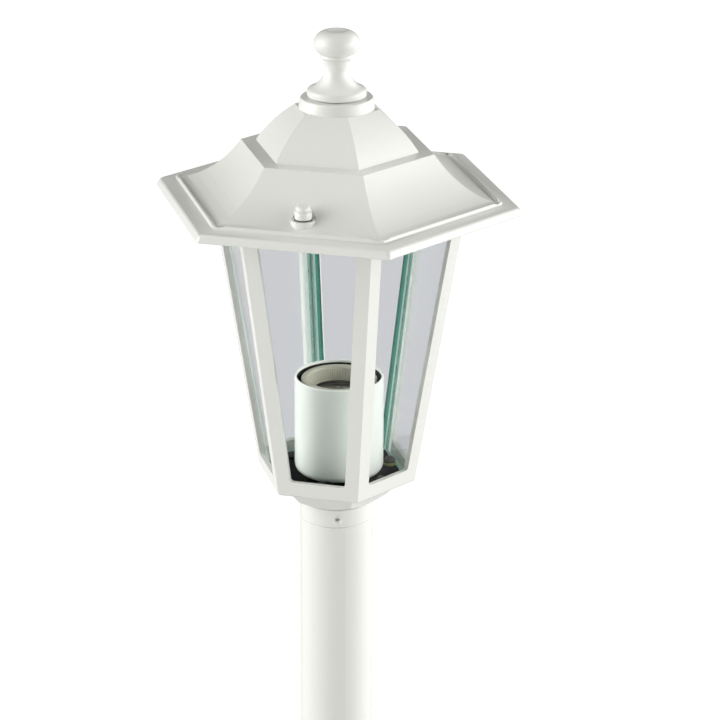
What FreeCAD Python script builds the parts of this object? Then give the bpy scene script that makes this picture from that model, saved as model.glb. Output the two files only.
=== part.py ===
import FreeCAD, Part
import math
import os

# Hexagonal garden lantern on a round post, all sizes in millimetres, +Z up.
# Z = 0 is the underside of the foot.  Inside the lantern, heights are counted from the
# lower outer edge of the cage's bottom rail and the pieces are raised by RAIL_Z at the end.
# A hexagon is given by its corner radius; its corners lie at 0, 60, 120 ... degrees.

# ---- driving dimensions -------------------------------------------------------------
HEIGHT = 1000.0            # foot to top of finial
FINIAL_TOP = 247.6         # above the bottom rail
RAIL_Z = HEIGHT - FINIAL_TOP
ACROSS = math.cos(math.radians(30))    # flat radius of a hexagon over its corner radius

# foot and post
FOOT_R = 75.0
FOOT_EDGE = 6.0
HUB_R = 26.0
HUB_TOP = 60.0
ANCHOR_CIRCLE_R = 59.0
ANCHOR_HOLE_R = 3.5
ANCHOR_PAD_R = 8.0
ANCHOR_PAD_TOP = 10.5
CABLE_HOLE_R = 14.0
SOCKET_FLOOR = 12.0
POST_R = 20.0
POST_WALL = 2.0
SOCKET_GAP = 0.05
FOOT_GRUB_R = 2.5
FOOT_GRUB_Z = 44.0

# collar on top of the post, and the lantern's spigot in it
COLLAR_TOP = -14.7
COLLAR_SEAM = -25.25
COLLAR_PLUG_END = -56.0
SPIGOT_R = 15.0
SPIGOT_END = -38.2
SPIGOT_BORE_R = 12.0
SWIVEL_GAP = 0.05
GRUB_Z = -20.55
GRUB_R = 2.0
GRUB_FIRST_ANGLE = -73.5
GROOVE_DEPTH = 1.0
GROOVE_HALF_WIDTH = 1.6

# cage: six bars, bottom rail, floor and top flange in one casting
CAGE_R = 44.0              # corner radius at the bottom rail
CAGE_TAPER = 0.165         # growth of the corner radius per millimetre of height
CAGE_TOP = 156.0
CAGE_WALL = 2.6
BAR_WIDTH = 7.6            # on each side of a corner
WINDOW_BOTTOM = 8.0
WINDOW_TOP = 148.0
WINDOW_CORNER_R = 2.0
FLOOR_TOP = 1.0
FLOOR_UNDER = -2.5
RAIL_EDGE = 0.8
NECK_R = 36.5
NECK_LOW_R = 28.5
NECK_LOW = -10.0
CONE_LOW_R = 20.4
CONE_LOW = -14.2
FLANGE_R = 81.0
FLANGE_UNDER = 152.5

# glazing
PANE = 3.0
PANE_BED = 0.15
PANE_SIDE_GAP = 0.25       # between the inner edges of neighbouring panes, each side
PANE_BOTTOM = 1.2
PANE_TOP = 154.6
RETAINER_TOP = 157.5
RETAINER_R = 80.2
RETAINER_LIP_FLAT = 53.4   # outer flat radius of the lip behind the panes
RETAINER_LIP = 1.2
RETAINER_LIP_END = 149.0
RETAINER_SCREW_ANGLES = (30, 150, 210, 330)
GASKET_TOP = 158.5
GASKET_FLATS = (62.0, 69.0)

# floor plate, its screws and the earth wire
PLATE_TOP = 2.0
PLATE_FLAT = 31.9
SCREW_SHANK_R = 1.75
SCREW_HEAD_R = 3.2
SCREW_HEAD = 3.0
FLOOR_SCREWS = {"front": (27.0, -92.0), "left": (29.4, 160.5)}
SMALL_SCREW = (27.6, -18.0)
SMALL_HEAD_R = 2.3
EARTH_SCREW = (28.75, 26.0)
WIRE_R = 0.95
WIRE_CIRCLE_R = 3.2
WIRE_BEND_R = 3.0

# lampholder, set a little off the lantern's axis
LAMP_X = 1.0
LAMP_Y = 0.3
SLEEVE_R = 23.6
SLEEVE_TOP = 56.9
SLEEVE_WALL = 1.2
SLEEVE_FILLET = 4.5
SLEEVE_FLOOR = 1.2
CERAMIC_R = 19.95
CERAMIC_TOP = 55.5
CERAMIC_FOOT_R = 16.0
SHELL_R = 13.3             # inside of the screw shell for the lamp cap
SHELL_WALL = 0.4
SHELL_BOTTOM = 28.0
SHELL_TOP = 48.5
HOLDER_SCREW_R = 2.0
HOLDER_SCREW_OUT = 12.0

# roof
ROOF_R = 100.0
ROOF_UNDER = 155.3
SEAT_TOP = 212.0
RIB_R = (71.6, 77.0)
STUD_OUT = 65.0
STUD_R = 2.0
STUD_TOP = 171.35
ROOF_HOLE_R = 2.5
BOSS_R = 6.3
BOSS_TOP = 165.5
COLUMN_R = 8.0

# cap nuts on the studs
SEAL = 0.6
SEAL_R = 4.7
NUT_R = 4.4
NUT_TOP = 173.8
NUT_BORE_R = 2.05
NUT_BORE_TOP = 171.9

# finial
FINIAL_SCREW_TOP = 228.0

X = FreeCAD.Vector(1, 0, 0)
Y = FreeCAD.Vector(0, 1, 0)
Z = FreeCAD.Vector(0, 0, 1)
ORIGIN = FreeCAD.Vector(0, 0, 0)


# ---- outlines and simple solids -----------------------------------------------------
def line(start, end):
    return Part.LineSegment(FreeCAD.Vector(start[0], 0, start[1]),
                            FreeCAD.Vector(end[0], 0, end[1])).toShape()


def arc(start, middle, end):
    points = [FreeCAD.Vector(x, 0, z) for x, z in (start, middle, end)]
    return Part.Arc(*points).toShape()


def curve(start, pole, end):
    bezier = Part.BezierCurve()
    bezier.setPoles([FreeCAD.Vector(x, 0, z) for x, z in (start, pole, end)])
    return bezier.toShape()


def outline(start, *steps):
    """Closed face in the XZ plane; a step is a point, an arc or a curve to a point."""
    edges = []
    here = start
    for step in steps:
        if isinstance(step[0], str):
            make = {"arc": arc, "curve": curve}[step[0]]
            edges.append(make(here, *step[1:]))
            here = step[-1]
        else:
            edges.append(line(here, step))
            here = step
    if here != start:
        edges.append(line(here, start))
    return Part.Face(Part.Wire(edges))


def turned(start, *steps):
    return outline(start, *steps).revolve(ORIGIN, Z, 360)


def cylinder(radius, low, high, x=0.0, y=0.0):
    return Part.makeCylinder(radius, high - low, FreeCAD.Vector(x, y, low))


def cone(low_radius, high_radius, low, high, x=0.0, y=0.0):
    return Part.makeCone(low_radius, high_radius, high - low, FreeCAD.Vector(x, y, low))


def hexagon(radius, z):
    points = []
    for corner in range(7):
        angle = math.radians(60 * corner)
        points.append(FreeCAD.Vector(radius * math.cos(angle), radius * math.sin(angle), z))
    return Part.makePolygon(points)


def hex_taper(low_radius, high_radius, low, high):
    return Part.makeLoft([hexagon(low_radius, low), hexagon(high_radius, high)], True, True)


def hex_form(start, *steps):
    """Hexagonal solid whose six sides follow one outline of corner radius and height."""
    def flat(point):
        return (point[0] * ACROSS, point[1])

    scaled = []
    for step in steps:
        if isinstance(step[0], str):
            scaled.append((step[0],) + tuple(flat(point) for point in step[1:]))
        else:
            scaled.append(flat(step))
    half = outline(flat(start), *scaled)
    section = half.fuse(half.mirror(ORIGIN, X)).removeSplitter()
    reach = section.BoundBox.XLength
    prism = section.extrude(Y * (2 * reach))
    prism.translate(Y * -reach)
    solid = None
    for turn in (30, 90, 150):
        side = prism.copy()
        side.rotate(ORIGIN, Z, turn)
        solid = side if solid is None else solid.common(side)
    return solid.removeSplitter()


def polar(radius, degrees):
    angle = math.radians(degrees)
    return radius * math.cos(angle), radius * math.sin(angle)


def on_side(shape, degrees, z=0.0):
    """Turn a shape made along +Z to point outwards from the axis."""
    placed = shape.copy()
    placed.rotate(ORIGIN, Y, 90)
    placed.translate(FreeCAD.Vector(0, 0, z))
    placed.rotate(ORIGIN, Z, degrees)
    return placed


def cage_radius(z):
    return CAGE_R + CAGE_TAPER * z


def sloped(thickness):
    """Corner radius taken up by a skin of this thickness on the leaning sides."""
    return thickness * math.hypot(1, CAGE_TAPER * ACROSS) / ACROSS


# ---- foot and post ------------------------------------------------------------------
def base_flange():
    """Round cast foot: edge, sloping plate, concave sweep up to the socket for the tube."""
    body = turned((CABLE_HOLE_R, 0), (FOOT_R, 0), (FOOT_R, FOOT_EDGE - 1.5),
                  ("arc", (FOOT_R - 0.45, FOOT_EDGE - 0.45), (FOOT_R - 1.5, FOOT_EDGE)),
                  (44, 11), ("arc", (32.5, 15.5), (28, 26)), (HUB_R, 34),
                  (HUB_R, HUB_TOP - 1.5), (HUB_R - 1.5, HUB_TOP),
                  (POST_R + SOCKET_GAP, HUB_TOP), (POST_R + SOCKET_GAP, SOCKET_FLOOR),
                  (CABLE_HOLE_R, SOCKET_FLOOR))
    for turn in (90, 210, 330):
        x, y = polar(ANCHOR_CIRCLE_R, turn)
        body = body.fuse(cylinder(ANCHOR_PAD_R, 2, ANCHOR_PAD_TOP, x, y))
    for turn in (90, 210, 330):
        x, y = polar(ANCHOR_CIRCLE_R, turn)
        body = body.cut(cylinder(ANCHOR_HOLE_R, -1, ANCHOR_PAD_TOP + 1, x, y))
    for turn in grub_angles():
        body = body.cut(on_side(cylinder(FOOT_GRUB_R, POST_R, HUB_R + 1), turn, FOOT_GRUB_Z))
    return body


def grub_angles():
    return [GRUB_FIRST_ANGLE + 120 * index for index in range(3)]


def hex_socket(flat, depth, end):
    corner = flat / 2 / ACROSS
    return hex_taper(corner, corner, end - depth, end + 1)


def foot_grub(turn):
    end = HUB_R - 0.6
    screw = cylinder(FOOT_GRUB_R, POST_R, end).cut(hex_socket(2.5, 2.0, end))
    return on_side(screw, turn, FOOT_GRUB_Z)


def post_tube():
    top = RAIL_Z + COLLAR_SEAM
    tube = cylinder(POST_R, SOCKET_FLOOR, top)
    return tube.cut(cylinder(POST_R - POST_WALL, SOCKET_FLOOR - 1, top + 1))


def post_collar():
    """Ring the width of the post, with a plug down into the tube and a shoulder inside."""
    bore = SPIGOT_R + SWIVEL_GAP
    plug = POST_R - POST_WALL
    body = turned((bore, COLLAR_TOP), (POST_R - 0.4, COLLAR_TOP), (POST_R, COLLAR_TOP - 0.4),
                  (POST_R, COLLAR_SEAM + 0.5), (POST_R - 0.5, COLLAR_SEAM),
                  (plug, COLLAR_SEAM), (plug, COLLAR_PLUG_END + 1),
                  (plug - 1, COLLAR_PLUG_END), (SPIGOT_BORE_R, COLLAR_PLUG_END),
                  (SPIGOT_BORE_R, SPIGOT_END), (bore, SPIGOT_END))
    for turn in grub_angles():
        hole = cylinder(GRUB_R, SPIGOT_R - 1, POST_R + 1)
        rim = cone(GRUB_R, GRUB_R + 1.0, POST_R - 0.55, POST_R + 0.45)
        body = body.cut(on_side(hole, turn, GRUB_Z))
        body = body.cut(on_side(rim, turn, GRUB_Z))
    return body


def collar_grub(turn):
    """Cone-pointed screw whose tip stands in the spigot's groove."""
    end = POST_R - 0.7
    tip = SPIGOT_R - 0.8
    shoulder = SPIGOT_R + 0.6
    screw = cylinder(GRUB_R, shoulder, end).fuse(cone(0.6, GRUB_R, tip, shoulder))
    return on_side(screw.removeSplitter().cut(hex_socket(2.0, 1.8, end)), turn, GRUB_Z)


# ---- cage and glazing ---------------------------------------------------------------
def window_cutter():
    """One window, drawn flat and pushed outwards along +X, with rounded corners."""
    corners = []
    for z, side in ((WINDOW_BOTTOM, -1), (WINDOW_BOTTOM, 1), (WINDOW_TOP, 1), (WINDOW_TOP, -1)):
        half = cage_radius(z) / 2 - BAR_WIDTH
        corners.append(FreeCAD.Vector(20, side * half, z))
    block = Part.Face(Part.makePolygon(corners + corners[:1])).extrude(X * 60)
    along = [edge for edge in block.Edges if abs(edge.tangentAt(edge.FirstParameter).x) > 0.99]
    return block.makeFillet(WINDOW_CORNER_R, along)


def neck():
    """Hexagonal funnel under the rail, turned to a cone and a spigot at its lower end."""
    slope = (NECK_R - NECK_LOW_R) / (-RAIL_EDGE - NECK_LOW)
    low_r = NECK_LOW_R - slope * (NECK_LOW - CONE_LOW)
    funnel = hex_taper(low_r, NECK_R, CONE_LOW, -RAIL_EDGE)
    lathe = turned((0, 0), (NECK_R + 1, 0), (NECK_R + 1, NECK_LOW + 7), (NECK_LOW_R, NECK_LOW),
                   (CONE_LOW_R, CONE_LOW), (0, CONE_LOW))
    spigot = turned((0, CONE_LOW), (SPIGOT_R, CONE_LOW),
                    (SPIGOT_R, GRUB_Z + GROOVE_HALF_WIDTH),
                    (SPIGOT_R - GROOVE_DEPTH, GRUB_Z + 0.6),
                    (SPIGOT_R - GROOVE_DEPTH, GRUB_Z - 0.6),
                    (SPIGOT_R, GRUB_Z - GROOVE_HALF_WIDTH),
                    (SPIGOT_R, SPIGOT_END), (0, SPIGOT_END))
    return funnel.common(lathe).fuse(spigot)


def neck_hollow():
    """Cable space under the floor, and the bore of the spigot."""
    return turned((0, FLOOR_UNDER), (26.5, FLOOR_UNDER), (21.5, -8.6), (10, -13.2), (10, -20),
                  (SPIGOT_BORE_R, -20), (SPIGOT_BORE_R, SPIGOT_END - 1), (0, SPIGOT_END - 1))


def lantern_cage():
    shell = hex_taper(cage_radius(0), cage_radius(CAGE_TOP), 0, CAGE_TOP)
    edge = hex_taper(cage_radius(0) - RAIL_EDGE, cage_radius(0), -RAIL_EDGE, 0)
    flange = hex_taper(FLANGE_R, FLANGE_R, FLANGE_UNDER, CAGE_TOP)
    body = shell.fuse([edge, flange, neck()])
    skin = sloped(CAGE_WALL)
    inside = hex_taper(cage_radius(FLOOR_TOP) - skin, cage_radius(CAGE_TOP + 1) - skin,
                       FLOOR_TOP, CAGE_TOP + 1)
    body = body.cut([inside, neck_hollow(), cylinder(6.5, FLOOR_UNDER - 1, FLOOR_TOP + 1)])
    for side in range(6):
        window = window_cutter()
        window.rotate(ORIGIN, Z, 30 + 60 * side)
        body = body.cut(window)
    holes = []
    for x, y in floor_screw_places():
        holes.append(cylinder(SCREW_SHANK_R, FLOOR_UNDER, FLOOR_TOP + 1, x, y))
    for x, y in holder_screw_places():
        holes.append(cylinder(HOLDER_SCREW_R, FLOOR_UNDER - 1, FLOOR_TOP + 1, x, y))
    for x, y in retainer_screw_places():
        holes.append(cylinder(1.5, FLANGE_UNDER - 1, CAGE_TOP + 1, x, y))
    for y in (-STUD_OUT, STUD_OUT):
        holes.append(cylinder(STUD_R, FLANGE_UNDER - 1, CAGE_TOP + 1, 0, y))
    return body.cut(holes).removeSplitter()


def glass_pane(side):
    """Flat tapering pane with square ground edges, leaning with the cage wall behind it."""
    lean = CAGE_TAPER * ACROSS
    length = math.hypot(1, lean)
    corners = []
    for z, hand in ((PANE_BOTTOM, -1), (PANE_BOTTOM, 1), (PANE_TOP, 1), (PANE_TOP, -1)):
        radius = cage_radius(z) - sloped(CAGE_WALL + PANE_BED)
        half = radius / 2 - PANE * math.tan(math.radians(30)) - PANE_SIDE_GAP
        corners.append(FreeCAD.Vector(radius * ACROSS, hand * half, z))
    inwards = FreeCAD.Vector(-PANE / length, 0, PANE * lean / length)
    pane = Part.Face(Part.makePolygon(corners + corners[:1])).extrude(inwards)
    pane.rotate(ORIGIN, Z, 30 + 60 * side)
    return pane


def retainer_screw_places():
    return [polar(STUD_OUT, angle) for angle in RETAINER_SCREW_ANGLES]


def pane_retainer():
    """Flat ring over the panes' top edges with a lip down behind them."""
    lip_r = RETAINER_LIP_FLAT / ACROSS
    inner_r = lip_r - RETAINER_LIP / ACROSS
    ring = hex_taper(RETAINER_R, RETAINER_R, CAGE_TOP, RETAINER_TOP)
    lip = hex_taper(lip_r, lip_r, RETAINER_LIP_END, RETAINER_TOP)
    body = ring.fuse(lip)
    cuts = [hex_taper(inner_r, inner_r, RETAINER_LIP_END - 1, RETAINER_TOP + 1)]
    for x, y in retainer_screw_places():
        cuts.append(cylinder(1.5, CAGE_TOP - 1, RETAINER_TOP + 1, x, y))
        cuts.append(cone(1.5, 2.8, RETAINER_TOP - 1.3, RETAINER_TOP, x, y))
    for y in (-STUD_OUT, STUD_OUT):
        cuts.append(cylinder(STUD_R, CAGE_TOP - 1, RETAINER_TOP + 1, 0, y))
    return body.cut(cuts).removeSplitter()


def retainer_screw(x, y):
    shank = cylinder(1.5, FLANGE_UNDER, RETAINER_TOP - 1.3, x, y)
    head = cone(1.5, 2.8, RETAINER_TOP - 1.3, RETAINER_TOP, x, y)
    slot = Part.makeBox(6, 0.8, 0.7, FreeCAD.Vector(x - 3, y - 0.4, RETAINER_TOP - 0.6))
    return shank.fuse(head).cut(slot)


def roof_gasket():
    inner, outer = (flat / ACROSS for flat in GASKET_FLATS)
    ring = hex_taper(outer, outer, RETAINER_TOP, GASKET_TOP)
    cuts = [hex_taper(inner, inner, RETAINER_TOP - 1, GASKET_TOP + 1)]
    for y in (-STUD_OUT, STUD_OUT):
        cuts.append(cylinder(STUD_R + 0.2, RETAINER_TOP - 1, GASKET_TOP + 1, 0, y))
    return ring.cut(cuts)


def roof_stud(y):
    return cylinder(STUD_R, FLANGE_UNDER, STUD_TOP - 0.5, 0, y).fuse(
        cone(STUD_R, STUD_R - 0.5, STUD_TOP - 0.5, STUD_TOP, 0, y)).removeSplitter()


# ---- floor, lampholder and wiring ---------------------------------------------------
def floor_screw_places():
    spots = list(FLOOR_SCREWS.values()) + [SMALL_SCREW, EARTH_SCREW]
    return [polar(*spot) for spot in spots]


def holder_screw_places():
    places = []
    for turn in (earth_heading() + 90, earth_heading() - 90):
        x, y = polar(HOLDER_SCREW_OUT, turn)
        places.append((x + LAMP_X, y + LAMP_Y))
    return places


def floor_plate():
    corner = PLATE_FLAT / ACROSS
    plate = hex_taper(corner, corner, FLOOR_TOP, PLATE_TOP)
    cuts = [cylinder(6.5, FLOOR_TOP - 1, PLATE_TOP + 1)]
    for x, y in floor_screw_places():
        cuts.append(cylinder(SCREW_SHANK_R, FLOOR_TOP - 1, PLATE_TOP + 1, x, y))
    for x, y in holder_screw_places():
        cuts.append(cylinder(HOLDER_SCREW_R, FLOOR_TOP - 1, PLATE_TOP + 1, x, y))
    return plate.cut(cuts)


def dome_screw(place, seat, head_r):
    """Screw with a low round head, seated at a given height."""
    height = SCREW_HEAD * head_r / SCREW_HEAD_R
    low = FLOOR_UNDER
    screw = turned((0, low), (SCREW_SHANK_R, low), (SCREW_SHANK_R, seat), (head_r, seat),
                   (head_r, seat + 0.7),
                   ("arc", (head_r * 0.74, seat + 0.7 + (height - 0.7) * 0.72),
                    (head_r * 0.15, seat + height)),
                   (0, seat + height))
    x, y = polar(*place)
    screw.translate(FreeCAD.Vector(x, y, 0))
    return screw


def earth_heading():
    """Direction in which the earth wire leaves the axis to meet its eye tangentially."""
    distance, angle = EARTH_SCREW
    return angle + math.degrees(math.asin((SCREW_SHANK_R + WIRE_R) / distance))


def wire_entries():
    return [polar(WIRE_CIRCLE_R, earth_heading() + 120 * index) for index in range(3)]


def straight_lead(place):
    x, y = place
    return cylinder(WIRE_R, -26, 9, x, y)


def lead_earth():
    """Wire up through the floor, out along the plate and once round the earth screw."""
    level = PLATE_TOP + WIRE_R + 0.1
    eye_r = SCREW_SHANK_R + WIRE_R
    heading = math.radians(earth_heading())
    out = FreeCAD.Vector(math.cos(heading), math.sin(heading), 0)
    start = out * WIRE_CIRCLE_R + Z * -26
    bend_start = out * WIRE_CIRCLE_R + Z * (level - WIRE_BEND_R)
    bend_end = bend_start + (out + Z) * WIRE_BEND_R
    half = math.sqrt(0.5)
    bend_middle = bend_start + out * (WIRE_BEND_R * (1 - half)) + Z * (WIRE_BEND_R * half)
    sx, sy = polar(*EARTH_SCREW)
    screw = FreeCAD.Vector(sx, sy, level)

    def eye_point(degrees):
        ex, ey = polar(eye_r, earth_heading() + 90 - degrees)
        return screw + FreeCAD.Vector(ex, ey, 0)

    path = Part.Wire([
        Part.LineSegment(start, bend_start).toShape(),
        Part.Arc(bend_start, bend_middle, bend_end).toShape(),
        Part.LineSegment(bend_end, eye_point(0)).toShape(),
        Part.Arc(eye_point(0), eye_point(135), eye_point(270)).toShape()])
    section = Part.Wire([Part.makeCircle(WIRE_R, start, Z)])
    return path.makePipeShell([section], True, True)


def wire_slot():
    """Channel for the earth wire under the lampholder and out through its sleeve."""
    slot = Part.makeBox(27, 2 * WIRE_R + 0.8, 2.4)
    slot.translate(FreeCAD.Vector(0, -WIRE_R - 0.4, PLATE_TOP))
    slot.rotate(ORIGIN, Z, earth_heading())
    return slot


def lampholder_sleeve():
    """Round white cup that hides the ceramic, with a rolled lower edge."""
    inner = SLEEVE_R - SLEEVE_WALL
    low = PLATE_TOP
    floor = low + SLEEVE_FLOOR
    bend = SLEEVE_FILLET * (1 - math.sqrt(0.5))
    cup = turned((5.4, low), (SLEEVE_R - SLEEVE_FILLET, low),
                 ("arc", (SLEEVE_R - bend, low + bend), (SLEEVE_R, low + SLEEVE_FILLET)),
                 (SLEEVE_R, SLEEVE_TOP - 0.4), (SLEEVE_R - 0.4, SLEEVE_TOP),
                 (inner + 0.3, SLEEVE_TOP), (inner, SLEEVE_TOP - 0.3),
                 (inner, floor + SLEEVE_FILLET - SLEEVE_WALL),
                 (inner - SLEEVE_FILLET + SLEEVE_WALL, floor), (5.4, floor))
    cup.translate(FreeCAD.Vector(LAMP_X, LAMP_Y, 0))
    for x, y in holder_screw_places():
        cup = cup.cut(cylinder(HOLDER_SCREW_R, low - 1, floor + 1, x, y))
    return cup.cut(wire_slot())


def lampholder_body():
    """Ceramic body: foot, shoulder, thick rim and a mouth that narrows to the screw shell."""
    low = PLATE_TOP + SLEEVE_FLOOR
    bore = SHELL_R + SHELL_WALL
    body = turned((0, low), (CERAMIC_FOOT_R, low), (CERAMIC_FOOT_R, 20), (CERAMIC_R, 25),
                  (CERAMIC_R, CERAMIC_TOP - 0.8),
                  ("arc", (CERAMIC_R - 0.23, CERAMIC_TOP - 0.23), (CERAMIC_R - 0.8, CERAMIC_TOP)),
                  (17.0, CERAMIC_TOP), (16.2, CERAMIC_TOP - 1.0), (14.6, SHELL_TOP + 0.2),
                  (bore, SHELL_TOP), (bore, 24.0), (0, 24.0))
    body.translate(FreeCAD.Vector(LAMP_X, LAMP_Y, 0))
    cuts = [wire_slot()]
    for x, y in holder_screw_places():
        cuts.append(cylinder(HOLDER_SCREW_R, low - 1, 14, x, y))
    for x, y in wire_entries():
        cuts.append(cylinder(WIRE_R, low - 1, 9, x, y))
    return body.cut(cuts)


def lamp_screw_shell():
    """Metal shell that takes the lamp's cap, with an inward lip at its foot."""
    shell = turned((SHELL_R, SHELL_TOP), (SHELL_R + SHELL_WALL, SHELL_TOP),
                   (SHELL_R + SHELL_WALL, SHELL_BOTTOM - SHELL_WALL),
                   (SHELL_R - 2.0, SHELL_BOTTOM - SHELL_WALL), (SHELL_R - 2.0, SHELL_BOTTOM),
                   (SHELL_R, SHELL_BOTTOM))
    shell.translate(FreeCAD.Vector(LAMP_X, LAMP_Y, 0))
    return shell


def centre_contact():
    """Spring tongue in the bottom of the holder, raised in the middle."""
    tongue = outline((-5, 24), (-2, 24), (2, 26.6), (5, 26.6), (5, 27.1), (1.8, 27.1),
                     (-2.2, 24.5), (-5, 24.5)).extrude(Y * 5)
    tongue.translate(FreeCAD.Vector(LAMP_X - 1.5, LAMP_Y - 2.5, 0))
    return tongue


def holder_screw(x, y):
    """Screw from under the floor up into the ceramic."""
    shank = cylinder(HOLDER_SCREW_R, FLOOR_UNDER, 14, x, y)
    return shank.fuse(cylinder(3.5, FLOOR_UNDER - 2.4, FLOOR_UNDER, x, y))


def lead_grommet():
    return turned((4.8, PLATE_TOP), (6.5, PLATE_TOP), (6.5, FLOOR_UNDER), (8.0, FLOOR_UNDER),
                  (8.0, FLOOR_UNDER - 1.2), (4.8, FLOOR_UNDER - 1.2))


def terminal_block():
    """Round three-pole connector pushed up against the step in the spigot's bore."""
    block = cylinder(SPIGOT_BORE_R, -34, -20)
    cuts = []
    for x, y in wire_entries():
        cuts.append(cylinder(WIRE_R, -26, -19, x, y))
        cuts.append(cylinder(1.6, -35, -29, x * 2, y * 2))
    return block.cut(cuts)


# ---- roof, finial and cap nuts ------------------------------------------------------
def roof_outer():
    """Flat lip, bead, concave skirt, ledge and convex dome of the six-sided roof."""
    lip = ROOF_UNDER + 0.8
    form = hex_form((0, ROOF_UNDER), (ROOF_R - 0.9, ROOF_UNDER),
                    ("arc", (ROOF_R - 0.25, ROOF_UNDER + 0.22), (ROOF_R, lip)), (98.9, 158.3),
                    ("arc", (98.25, 159.3), (97.1, 159.75)), (89.1, 160.0), (88.7, 161.7),
                    ("arc", (87.9, 162.25), (86.9, 161.9)), (85.6, 161.1),
                    ("curve", (65.5, 166.2), (52.4, 184.8)), (44.1, 185.2),
                    ("arc", (34.3, 197.1), (22.7, 206.5)), (0, 206.5))
    softened = turned((0, 150), (ROOF_R - 0.6, 150), (ROOF_R - 0.6, lip), (98.3, 158.3),
                      (96.2, 160.5), (96.2, 220), (0, 220))
    return form.common(softened)


def roof_inner():
    """The hollow under the roof, one skin thickness inside its outer form."""
    return hex_form((0, ROOF_UNDER - 1), (96.6, ROOF_UNDER - 1), (96.6, 157.2), (85.0, 157.6),
                    ("curve", (63.8, 163.2), (49.9, 182.3)), (42.4, 182.7),
                    ("arc", (32.7, 194.8), (21.6, 203.6)), (0, 203.6))


def finial_seat():
    return turned((0, 206), (20.0, 206), (19.4, SEAT_TOP - 0.9), (18.7, SEAT_TOP),
                  (0, SEAT_TOP))


def roof_shell():
    outer = roof_outer()
    body = outer.cut(roof_inner())
    rib_in, rib_out = RIB_R
    rib = hex_taper(rib_out, rib_out, GASKET_TOP, 172).cut(
        hex_taper(rib_in, rib_in, GASKET_TOP - 1, 173))
    extras = [rib.common(outer)]
    for y in (-STUD_OUT, STUD_OUT):
        extras.append(cylinder(COLUMN_R, GASKET_TOP, 180, 0, y).common(outer))
    body = body.fuse(extras)
    cuts = [cylinder(13, 200, SEAT_TOP - 3.5), cylinder(STUD_R, 200, SEAT_TOP + 1)]
    body = body.fuse(finial_seat())
    bosses = []
    for y in (-STUD_OUT, STUD_OUT):
        cuts.append(cylinder(BOSS_R, BOSS_TOP, 180, 0, y))
        bosses.append(cylinder(BOSS_R, 161, BOSS_TOP, 0, y))
    body = body.cut(cuts).fuse(bosses)
    for y in (-STUD_OUT, STUD_OUT):
        body = body.cut(cylinder(ROOF_HOLE_R, 150, 180, 0, y))
    return body.removeSplitter()


def nut_seal(y):
    ring = cylinder(SEAL_R, BOSS_TOP, BOSS_TOP + SEAL, 0, y)
    return ring.cut(cylinder(NUT_BORE_R, BOSS_TOP - 1, BOSS_TOP + SEAL + 1, 0, y))


def cap_nut(y):
    """Round cap nut: straight skirt with a fine step, dome, small tip and a blind bore."""
    low = BOSS_TOP + SEAL
    step = low + 3.7
    nut = turned((NUT_BORE_R, low), (NUT_R, low), (NUT_R, step), (NUT_R - 0.2, step + 0.2),
                 ("arc", (NUT_R - 1.3, step + 2.6), (1.0, NUT_TOP - 0.25)),
                 (0.8, NUT_TOP), (0, NUT_TOP), (0, NUT_BORE_TOP),
                 (NUT_BORE_R, NUT_BORE_TOP - 0.6))
    nut.translate(FreeCAD.Vector(0, y, 0))
    return nut


def finial():
    """Turned finial: disc, flared foot, waist, bead ring and flattened ball."""
    top = FINIAL_TOP
    return turned((0, SEAT_TOP), (15.6, SEAT_TOP), (15.6, 215.3),
                  ("arc", (15.3, 216.1), (14.6, 216.8)),
                  ("arc", (9.9, 219.2), (7.3, 222.7)),
                  ("arc", (6.4, 226.4), (7.7, 230.9)), (8.5, 231.5),
                  ("arc", (8.8, 232.2), (8.5, 232.9)), (8.3, 233.0),
                  ("arc", (12.2, 239.7), (8.9, 245.4)),
                  ("arc", (7.0, 246.9), (4.8, top)),
                  (2.2, top - 0.5), (0, top - 0.5)).cut(
                      cylinder(STUD_R, SEAT_TOP - 1, FINIAL_SCREW_TOP))


def finial_washer():
    ring = cylinder(6, SEAT_TOP - 4.5, SEAT_TOP - 3.5)
    return ring.cut(cylinder(STUD_R, SEAT_TOP - 5, SEAT_TOP))


def finial_screw():
    """Screw from inside the roof up into the finial."""
    seat = SEAT_TOP - 4.5
    head = cylinder(3.5, seat - 2.6, seat)
    slot = Part.makeBox(8, 1.0, 1.2, FreeCAD.Vector(-4, -0.5, seat - 2.6))
    return head.fuse(cylinder(STUD_R, seat, FINIAL_SCREW_TOP)).cut(slot)


# ---- all pieces ---------------------------------------------------------------------
def post_pieces():
    pieces = {"base_flange": base_flange(), "post_tube": post_tube()}
    for index, turn in enumerate(grub_angles(), 1):
        pieces[f"base_grub_screw_{index}"] = foot_grub(turn)
    return pieces


def lantern_pieces():
    pieces = {"post_collar": post_collar(), "lantern_cage": lantern_cage(),
              "pane_retainer": pane_retainer(), "roof_gasket": roof_gasket()}
    for index, turn in enumerate(grub_angles(), 1):
        pieces[f"collar_grub_screw_{index}"] = collar_grub(turn)
    for side in range(6):
        pieces[f"glass_pane_{side + 1}"] = glass_pane(side)
    for index, (x, y) in enumerate(retainer_screw_places(), 1):
        pieces[f"retainer_screw_{index}"] = retainer_screw(x, y)
    return pieces


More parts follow.
